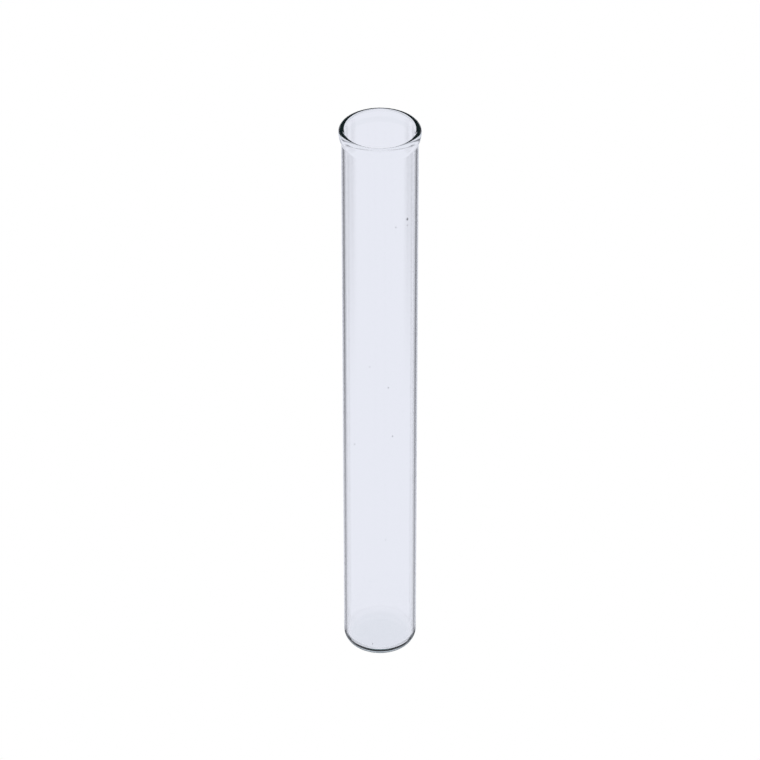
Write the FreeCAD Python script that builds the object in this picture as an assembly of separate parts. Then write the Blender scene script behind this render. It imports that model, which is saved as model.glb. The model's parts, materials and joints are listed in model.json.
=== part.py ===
import FreeCAD, Part

import math
import os

# A flat-bottomed, rimmed glass test tube in millimetres.
# The frame's origin is the centre of the underside of the base, and +Z runs up the tube's axis to the mouth.

# Driving dimensions
TUBE_DIAMETER = 18.0
WALL = 0.9
LENGTH = 150.0

LIP_DIAMETER = 19.3
RIM_HEIGHT = 0.9           # from the collar's widest point up to the top of the rim
COLLAR_FLARE_HEIGHT = 2.7  # from the start of the flare up to the collar's widest point
COLLAR_RADIUS = 5.7        # the collar's outside, which bulges gently below its widest point

BASE_HEIGHT = 6.0          # the length of tube that is reshaped when the end is closed
FLOOR_THICKNESS = 1.6
HEEL_RADIUS = 2.6          # outside corner between the barrel and the underside
INNER_HEEL_RADIUS = 1.6    # inside corner between the bore and the floor

# Dimensions that follow from them
OUTER_RADIUS = TUBE_DIAMETER / 2
BORE_RADIUS = OUTER_RADIUS - WALL
LIP_RADIUS = LIP_DIAMETER / 2
RIM_HALF_WIDTH = (LIP_RADIUS - BORE_RADIUS) / 2     # the melted rim is as thick as the collar and flush with the bore
RIM_CENTRE_RADIUS = LIP_RADIUS - RIM_HALF_WIDTH
WIDEST_HEIGHT = LENGTH - RIM_HEIGHT
FLARE_START = WIDEST_HEIGHT - COLLAR_FLARE_HEIGHT


def point(radius, height):
    """A point of a half-section, which lies in the XZ plane."""
    return FreeCAD.Vector(radius, 0, height)


def polar(centre, radius, angle):
    """The point at an angle, in radians from outwards towards up, on a circle of a half-section."""
    return centre + point(radius * math.cos(angle), radius * math.sin(angle))


def arc(centre, radius, start_angle, end_angle):
    """An arc of a half-section between two angles, by way of their middle."""
    middle_angle = (start_angle + end_angle) / 2
    start = polar(centre, radius, start_angle)
    middle = polar(centre, radius, middle_angle)
    end = polar(centre, radius, end_angle)
    return Part.Arc(start, middle, end).toShape()


def line(start, end):
    return Part.LineSegment(start, end).toShape()


def half_ellipse(centre, top, side):
    """The upper half of an ellipse that is taller than it is wide, given its top and one of its sides."""
    ellipse = Part.Ellipse(top, side, centre)
    return ellipse.toShape(-math.pi / 2, math.pi / 2)


def revolve(edges):
    """Turn a closed half-section through a full circle about the tube's axis."""
    section = Part.Face(Part.Wire(edges))
    return section.revolve(point(0, 0), point(0, 1), 360)


def make_lip():
    """The collar on the outside of the mouth, with the melted rim along its top.

    The outside leaves the barrel upright, turns out and up again through two arcs that share a tangent, and is upright
    at the collar's widest point. From there the rim is half an ellipse, which comes down flush with the bore.
    """
    overhang = LIP_RADIUS - OUTER_RADIUS
    both_radii = (COLLAR_FLARE_HEIGHT ** 2 + overhang ** 2) / (2 * overhang)
    flare_radius = both_radii - COLLAR_RADIUS
    turn = math.asin(COLLAR_FLARE_HEIGHT / both_radii)

    flare_centre = point(OUTER_RADIUS + flare_radius, FLARE_START)
    collar_centre = point(LIP_RADIUS - COLLAR_RADIUS, WIDEST_HEIGHT)
    rim_centre = point(RIM_CENTRE_RADIUS, WIDEST_HEIGHT)
    rim_top = point(RIM_CENTRE_RADIUS, LENGTH)
    widest = point(LIP_RADIUS, WIDEST_HEIGHT)
    rim_inside = point(BORE_RADIUS, WIDEST_HEIGHT)
    outer_seam = point(OUTER_RADIUS, FLARE_START)
    inner_seam = point(BORE_RADIUS, FLARE_START)
    return revolve([
        arc(flare_centre, flare_radius, math.pi, math.pi - turn),
        arc(collar_centre, COLLAR_RADIUS, -turn, 0),
        half_ellipse(rim_centre, rim_top, widest),
        line(rim_inside, inner_seam),
        line(inner_seam, outer_seam),
    ])


def make_barrel():
    """The straight drawn tube between the base and the flare."""
    corners = [
        point(OUTER_RADIUS, BASE_HEIGHT),
        point(OUTER_RADIUS, FLARE_START),
        point(BORE_RADIUS, FLARE_START),
        point(BORE_RADIUS, BASE_HEIGHT),
    ]
    edges = [line(corners[i], corners[(i + 1) % 4]) for i in range(4)]
    return revolve(edges)


def make_base():
    """The closed end: a flat floor that turns up through a rounded heel."""
    floor_top = point(0, FLOOR_THICKNESS)
    underside = point(0, 0)
    heel_centre = point(OUTER_RADIUS - HEEL_RADIUS, HEEL_RADIUS)
    inner_heel_centre = point(BORE_RADIUS - INNER_HEEL_RADIUS, FLOOR_THICKNESS + INNER_HEEL_RADIUS)

    heel = arc(heel_centre, HEEL_RADIUS, -math.pi / 2, 0)
    inner_heel = arc(inner_heel_centre, INNER_HEEL_RADIUS, 0, -math.pi / 2)
    outer_seam = point(OUTER_RADIUS, BASE_HEIGHT)
    inner_seam = point(BORE_RADIUS, BASE_HEIGHT)
    return revolve([
        line(underside, polar(heel_centre, HEEL_RADIUS, -math.pi / 2)),
        heel,
        line(polar(heel_centre, HEEL_RADIUS, 0), outer_seam),
        line(outer_seam, inner_seam),
        line(inner_seam, polar(inner_heel_centre, INNER_HEEL_RADIUS, 0)),
        inner_heel,
        line(polar(inner_heel_centre, INNER_HEEL_RADIUS, -math.pi / 2), floor_top),
        line(floor_top, underside),
    ])


def main():
    os.makedirs("parts", exist_ok=True)
    nodes = {
        "lip": make_lip(),
        "barrel": make_barrel(),
        "base": make_base(),
    }
    for name, shape in nodes.items():
        shape.exportStep(f"parts/{name}.step")
        box = shape.optimalBoundingBox(False)
        print(f"{name}: valid {shape.isValid()}, {shape.ShapeType}, volume {shape.Volume:.1f} mm3, "
              f"z {box.ZMin:.3f} to {box.ZMax:.3f}, width {box.XLength:.3f}")


main()
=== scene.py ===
import json
import math

import bmesh
import bpy
from mathutils import Matrix, Vector


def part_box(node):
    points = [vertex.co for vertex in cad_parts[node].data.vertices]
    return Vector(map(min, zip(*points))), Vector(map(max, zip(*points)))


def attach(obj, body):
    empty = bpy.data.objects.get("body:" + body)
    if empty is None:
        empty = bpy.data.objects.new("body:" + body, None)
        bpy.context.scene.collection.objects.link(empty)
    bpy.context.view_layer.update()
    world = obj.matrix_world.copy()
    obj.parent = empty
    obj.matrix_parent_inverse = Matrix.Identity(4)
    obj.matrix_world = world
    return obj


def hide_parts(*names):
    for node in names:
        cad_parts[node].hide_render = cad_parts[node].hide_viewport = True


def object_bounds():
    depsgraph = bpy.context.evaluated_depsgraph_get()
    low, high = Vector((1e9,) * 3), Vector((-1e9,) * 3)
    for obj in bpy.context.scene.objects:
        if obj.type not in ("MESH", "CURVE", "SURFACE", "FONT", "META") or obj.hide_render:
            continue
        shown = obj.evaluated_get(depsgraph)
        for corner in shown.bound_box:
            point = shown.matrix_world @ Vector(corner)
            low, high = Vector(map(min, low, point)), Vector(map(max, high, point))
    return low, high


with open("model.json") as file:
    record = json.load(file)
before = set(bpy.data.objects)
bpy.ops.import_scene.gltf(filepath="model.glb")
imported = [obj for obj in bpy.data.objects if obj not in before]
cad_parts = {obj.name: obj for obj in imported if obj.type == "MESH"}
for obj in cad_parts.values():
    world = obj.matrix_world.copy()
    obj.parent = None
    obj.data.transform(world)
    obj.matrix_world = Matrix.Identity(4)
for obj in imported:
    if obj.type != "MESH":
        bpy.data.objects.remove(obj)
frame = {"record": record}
cad_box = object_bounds()

# A clear glass test tube standing on a pale floor. Lengths are in metres.
MM = 0.001
WHITE = (1, 1, 1, 1)

# ---- Sizes that the frame gives ----
mounts = {mount["name"]: mount for mount in frame["record"]["mounts"]}
OUTER_RADIUS = mounts["barrel"]["dims"]["r_mm"] * MM
BORE_RADIUS = mounts["mouth"]["dims"]["r_mm"] * MM
LIP_RADIUS = cad_box[1].x
LENGTH = cad_box[1].z
FLARE_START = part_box("lip")[0].z

# ---- Roundings of the lip and the closed end ----
RIM_HEIGHT = 0.9 * MM
COLLAR_RADIUS = 5.7 * MM
HEEL_RADIUS = 2.6 * MM
INNER_HEEL_RADIUS = 1.6 * MM
FLOOR_THICKNESS = 1.6 * MM

# ---- How finely the tube is meshed ----
SEGMENTS = 256
ARC_STEPS = 24
RIM_STEPS = 48
WALL_STEPS = 60

# ---- Seeds: small bubbles shut inside the wall, drawn out along the tube ----
SEED_STRETCH = 1.3
SEED_SUBDIVISIONS = 2
SEED_DEPTH = 0.42 * MM
# Angle round the tube in degrees, from the front towards +X; height; half-width
SEEDS = [
    (46, 129.0 * MM, 0.27 * MM),
    (46, 127.2 * MM, 0.10 * MM),
    (-80, 106.5 * MM, 0.22 * MM),
    (-12, 4.0 * MM, 0.13 * MM),
    (-16, 88.5 * MM, 0.09 * MM),
    (13, 82.5 * MM, 0.13 * MM),
    (20, 68.0 * MM, 0.13 * MM),
    (-58, 49.0 * MM, 0.09 * MM),
    (90, 42.5 * MM, 0.10 * MM),
    (152, 118.0 * MM, 0.14 * MM),
    (-128, 56.0 * MM, 0.16 * MM),
    (170, 24.0 * MM, 0.10 * MM),
]


# ======================= The tube =======================

def arc(centre, radius, start, end, steps):
    """Points (distance from the axis, height) along an arc, without the first one."""
    points = []
    for step in range(1, steps + 1):
        angle = start + (end - start) * step / steps
        points.append((centre[0] + radius * math.cos(angle),
                       centre[1] + radius * math.sin(angle)))
    return points


def wall(radius, start, end):
    """Evenly spaced points up or down a straight wall, without the first one."""
    return [(radius, start + (end - start) * step / WALL_STEPS)
            for step in range(1, WALL_STEPS + 1)]


def lip_outline():
    """Up the outside of the collar and over the melted rim to the top of the bore."""
    widest_height = LENGTH - RIM_HEIGHT
    rim_half_width = (LIP_RADIUS - BORE_RADIUS) / 2
    rim_centre_radius = LIP_RADIUS - rim_half_width

    # The flare and the collar are two arcs that meet smoothly, the first hollow and the second full
    overhang = LIP_RADIUS - OUTER_RADIUS
    flare_height = widest_height - FLARE_START
    both_radii = (flare_height ** 2 + overhang ** 2) / (2 * overhang)
    flare_radius = both_radii - COLLAR_RADIUS
    turn = math.asin(flare_height / both_radii)

    outline = arc((OUTER_RADIUS + flare_radius, FLARE_START), flare_radius,
                  math.pi, math.pi - turn, ARC_STEPS)
    outline += arc((LIP_RADIUS - COLLAR_RADIUS, widest_height), COLLAR_RADIUS,
                   -turn, 0, ARC_STEPS)
    for step in range(1, RIM_STEPS + 1):
        angle = math.pi * step / RIM_STEPS
        outline.append((rim_centre_radius + rim_half_width * math.cos(angle),
                        widest_height + RIM_HEIGHT * math.sin(angle)))
    return outline


def tube_outline():
    """The half-section, from the middle of the underside to the middle of the inside floor."""
    heel_centre = (OUTER_RADIUS - HEEL_RADIUS, HEEL_RADIUS)
    inner_heel_top = FLOOR_THICKNESS + INNER_HEEL_RADIUS
    inner_heel_centre = (BORE_RADIUS - INNER_HEEL_RADIUS, inner_heel_top)

    outline = [(0, 0), (heel_centre[0], 0)]
    outline += arc(heel_centre, HEEL_RADIUS, -math.pi / 2, 0, ARC_STEPS)
    outline += wall(OUTER_RADIUS, HEEL_RADIUS, FLARE_START)
    outline += lip_outline()
    outline += wall(BORE_RADIUS, LENGTH - RIM_HEIGHT, inner_heel_top)
    outline += arc(inner_heel_centre, INNER_HEEL_RADIUS, 0, -math.pi / 2, ARC_STEPS)
    outline.append((0, FLOOR_THICKNESS))
    return outline


def add_ring(mesh, radius, height):
    """A ring of vertices round the axis, or one shared vertex where the outline meets it."""
    if radius == 0:
        return [mesh.verts.new((0, 0, height))] * SEGMENTS
    ring = []
    for segment in range(SEGMENTS):
        angle = 2 * math.pi * segment / SEGMENTS
        ring.append(mesh.verts.new((radius * math.cos(angle), radius * math.sin(angle), height)))
    return ring


def lathe(mesh, outline):
    """Turn an outline about the axis into one closed skin."""
    rings = [add_ring(mesh, radius, height) for radius, height in outline]
    for lower, upper in zip(rings, rings[1:]):
        for segment in range(SEGMENTS):
            following = (segment + 1) % SEGMENTS
            corners = [lower[segment], lower[following], upper[following], upper[segment]]
            mesh.faces.new(list(dict.fromkeys(corners)))


def add_seed(mesh, angle, height, depth, size):
    """One seed, its skin facing into the bubble. The angle is from the front, towards +X."""
    distance = OUTER_RADIUS - depth
    centre = (distance * math.sin(angle), -distance * math.cos(angle), height)
    stretch = Matrix.Diagonal((size, size, size * SEED_STRETCH, 1))
    made = bmesh.ops.create_icosphere(mesh, subdivisions=SEED_SUBDIVISIONS, radius=1,
                                     matrix=Matrix.Translation(centre) @ stretch)
    faces = {face for vertex in made["verts"] for face in vertex.link_faces}
    bmesh.ops.reverse_faces(mesh, faces=list(faces))


mesh = bmesh.new()
lathe(mesh, tube_outline())
bmesh.ops.recalc_face_normals(mesh, faces=mesh.faces)
for angle, height, size in SEEDS:
    add_seed(mesh, math.radians(angle), height, SEED_DEPTH, size)
for face in mesh.faces:
    face.smooth = True

tube_mesh = bpy.data.meshes.new("glass_tube")
mesh.to_mesh(tube_mesh)
mesh.free()
tube = bpy.data.objects.new("glass_tube", tube_mesh)
bpy.context.scene.collection.objects.link(tube)


# ======================= The glass =======================

GLASS_IOR = 1.5
DRAW_LINE_SCALE = (900, 900, 25)
DRAW_LINE_DETAIL = 2
DRAW_LINE_STRENGTH = 0.3
DRAW_LINE_DEPTH = 0.002 * MM
TINT_COLOUR = (0.80, 0.88, 0.95, 1)
TINT_DENSITY = 20


def clear_glass():
    """Fire-polished laboratory glass with faint lengthwise draw lines and a slight cool tint."""
    material = bpy.data.materials.new("clear_glass")
    material.use_nodes = True
    nodes = material.node_tree.nodes
    link = material.node_tree.links.new
    shader = nodes["Principled BSDF"]
    shader.inputs["Base Color"].default_value = WHITE
    shader.inputs["Transmission Weight"].default_value = 1
    shader.inputs["Roughness"].default_value = 0
    shader.inputs["IOR"].default_value = GLASS_IOR

    coordinates = nodes.new("ShaderNodeTexCoord")
    along = nodes.new("ShaderNodeMapping")
    along.inputs["Scale"].default_value = DRAW_LINE_SCALE
    link(coordinates.outputs["Object"], along.inputs["Vector"])
    lines = nodes.new("ShaderNodeTexNoise")
    lines.inputs["Scale"].default_value = 1
    lines.inputs["Detail"].default_value = DRAW_LINE_DETAIL
    link(along.outputs["Vector"], lines.inputs["Vector"])
    bump = nodes.new("ShaderNodeBump")
    bump.inputs["Strength"].default_value = DRAW_LINE_STRENGTH
    bump.inputs["Distance"].default_value = DRAW_LINE_DEPTH
    link(lines.outputs["Fac"], bump.inputs["Height"])
    link(bump.outputs["Normal"], shader.inputs["Normal"])

    tint = nodes.new("ShaderNodeVolumeAbsorption")
    tint.inputs["Color"].default_value = TINT_COLOUR
    tint.inputs["Density"].default_value = TINT_DENSITY
    link(tint.outputs["Volume"], nodes["Material Output"].inputs["Volume"])
    return material


tube.data.materials.append(clear_glass())
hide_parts("lip", "barrel", "base")
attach(tube, "root")


# ======================= The floor =======================

FLOOR_SIZE = 20

bpy.ops.mesh.primitive_plane_add(size=FLOOR_SIZE, location=(0, 0, 0))
floor = bpy.context.object
floor.name = "floor"
paper = bpy.data.materials.new("white_paper")
paper.use_nodes = True
paper.node_tree.nodes.clear()
glow = paper.node_tree.nodes.new("ShaderNodeEmission")
glow.inputs["Color"].default_value = WHITE
glow.inputs["Strength"].default_value = 1
paper_output = paper.node_tree.nodes.new("ShaderNodeOutputMaterial")
paper.node_tree.links.new(glow.outputs["Emission"], paper_output.inputs["Surface"])
floor.data.materials.append(paper)
# Only the camera sees the floor. The glass looks past it at the light the tube stands on.
floor.visible_transmission = False
floor.visible_glossy = False
floor.visible_diffuse = False
floor.visible_shadow = False


# ======================= The light =======================
# The tube stands on a big soft light. The sky above is dim, and dark flags stand in the light's
# way. Directions are an azimuth from +Y and an elevation, in degrees.

LIGHT_COLOUR = (0.943, 0.961, 1.049, 1)
LIGHT_LEVEL = 0.858
DARK_COLOUR = (0.012, 0.013, 0.022, 1)
LIGHT_TOP = 12
LIGHT_TOP_SOFTNESS = 2
SKY_COLOUR = (0.10, 0.19, 0.20, 1)
# Azimuth from and to, elevation from and to, how much of the light is stopped.
# These stand on both sides of the tube.
FLAGS = {
    "low_flanks": (24, 40, -100, -30, 0.68),
    "upper_flanks": (24, 40, -36, -30, 0.5),
    "high_flanks": (26, 42, -12, 15, 0.45),
    "far_flanks": (64, 88, -34, -20, 0.8),
}
# One that stands on the +X side only
RIGHT_FLAG = (26, 42, -30, -17, 0.9)
FLAG_SIDE_SOFTNESS = 6
FLAG_END_SOFTNESS = 2

world = bpy.data.worlds.new("studio")
bpy.context.scene.world = world
world.use_nodes = True
studio = world.node_tree
studio.nodes.clear()


def studio_math(operation, *values):
    """The output of a maths node fed with sockets or plain numbers."""
    node = studio.nodes.new("ShaderNodeMath")
    node.operation = operation
    for socket, value in zip(node.inputs, values):
        if isinstance(value, bpy.types.NodeSocket):
            studio.links.new(value, socket)
        else:
            socket.default_value = value
    return node.outputs[0]


def rise(value, edge, softness):
    """0 below the edge and 1 above it, with a soft step between."""
    node = studio.nodes.new("ShaderNodeMapRange")
    node.interpolation_type = "SMOOTHSTEP"
    node.inputs["From Min"].default_value = math.radians(edge - softness)
    node.inputs["From Max"].default_value = math.radians(edge + softness)
    studio.links.new(value, node.inputs["Value"])
    return node.outputs["Result"]


def between(value, low, high, softness):
    """1 from the low edge to the high edge and 0 outside them, with soft steps."""
    return studio_math("SUBTRACT", rise(value, low, softness), rise(value, high, softness))


def flagged(light, azimuth, flag):
    """The light that is left when a flag has stopped its share."""
    left, right, bottom, top, stopped = flag
    across = between(azimuth, left, right, FLAG_SIDE_SOFTNESS)
    along = between(elevation, bottom, top, FLAG_END_SOFTNESS)
    shade = studio_math("MULTIPLY", studio_math("MULTIPLY", across, along), stopped)
    return studio_math("MULTIPLY", light, studio_math("SUBTRACT", 1, shade))


direction = studio.nodes.new("ShaderNodeTexCoord")
components = studio.nodes.new("ShaderNodeSeparateXYZ")
studio.links.new(direction.outputs["Generated"], components.inputs["Vector"])
azimuth = studio_math("ARCTAN2", components.outputs["X"], components.outputs["Y"])
elevation = studio_math("ARCSINE", components.outputs["Z"])

light = LIGHT_LEVEL
for flag in FLAGS.values():
    light = flagged(light, studio_math("ABSOLUTE", azimuth), flag)
light = flagged(light, azimuth, RIGHT_FLAG)

panel_colour = studio.nodes.new("ShaderNodeMix")
panel_colour.data_type = "RGBA"
panel_colour.inputs["A"].default_value = DARK_COLOUR
panel_colour.inputs["B"].default_value = LIGHT_COLOUR
studio.links.new(light, panel_colour.inputs["Factor"])
sky_colour = studio.nodes.new("ShaderNodeMix")
sky_colour.data_type = "RGBA"
sky_colour.inputs["B"].default_value = SKY_COLOUR
studio.links.new(panel_colour.outputs["Result"], sky_colour.inputs["A"])
studio.links.new(rise(elevation, LIGHT_TOP, LIGHT_TOP_SOFTNESS), sky_colour.inputs["Factor"])
seen_through_glass = studio.nodes.new("ShaderNodeBackground")
studio.links.new(sky_colour.outputs["Result"], seen_through_glass.inputs["Color"])

# The camera sees a plain white backdrop, so that the studio shows only in the glass
backdrop = studio.nodes.new("ShaderNodeBackground")
backdrop.inputs["Color"].default_value = WHITE
ray = studio.nodes.new("ShaderNodeLightPath")
surroundings = studio.nodes.new("ShaderNodeMixShader")
studio.links.new(ray.outputs["Is Camera Ray"], surroundings.inputs["Fac"])
studio.links.new(seen_through_glass.outputs["Background"], surroundings.inputs[1])
studio.links.new(backdrop.outputs["Background"], surroundings.inputs[2])
world_output = studio.nodes.new("ShaderNodeOutputWorld")
studio.links.new(surroundings.outputs["Shader"], world_output.inputs["Surface"])


# ======================= The camera =======================

CAMERA_ELEVATION = math.radians(35.5)
CAMERA_DISTANCE = 0.9986
CAMERA_TARGET = Vector((0, 0, 0.0787))
SENSOR_WIDTH = 36
FOCAL_LENGTH = 196.58
CLIP_START = 0.01

lens = bpy.data.cameras.new("camera")
lens.sensor_width = SENSOR_WIDTH
lens.lens = FOCAL_LENGTH
lens.clip_start = CLIP_START
camera = bpy.data.objects.new("camera", lens)
bpy.context.scene.collection.objects.link(camera)
bpy.context.scene.camera = camera
towards_camera = Vector((0, -math.cos(CAMERA_ELEVATION), math.sin(CAMERA_ELEVATION)))
camera.location = CAMERA_TARGET + towards_camera * CAMERA_DISTANCE
camera.rotation_euler = towards_camera.to_track_quat("Z", "Y").to_euler()

# Colours are shown as they are, without a film look
bpy.context.scene.view_settings.view_transform = "Standard"
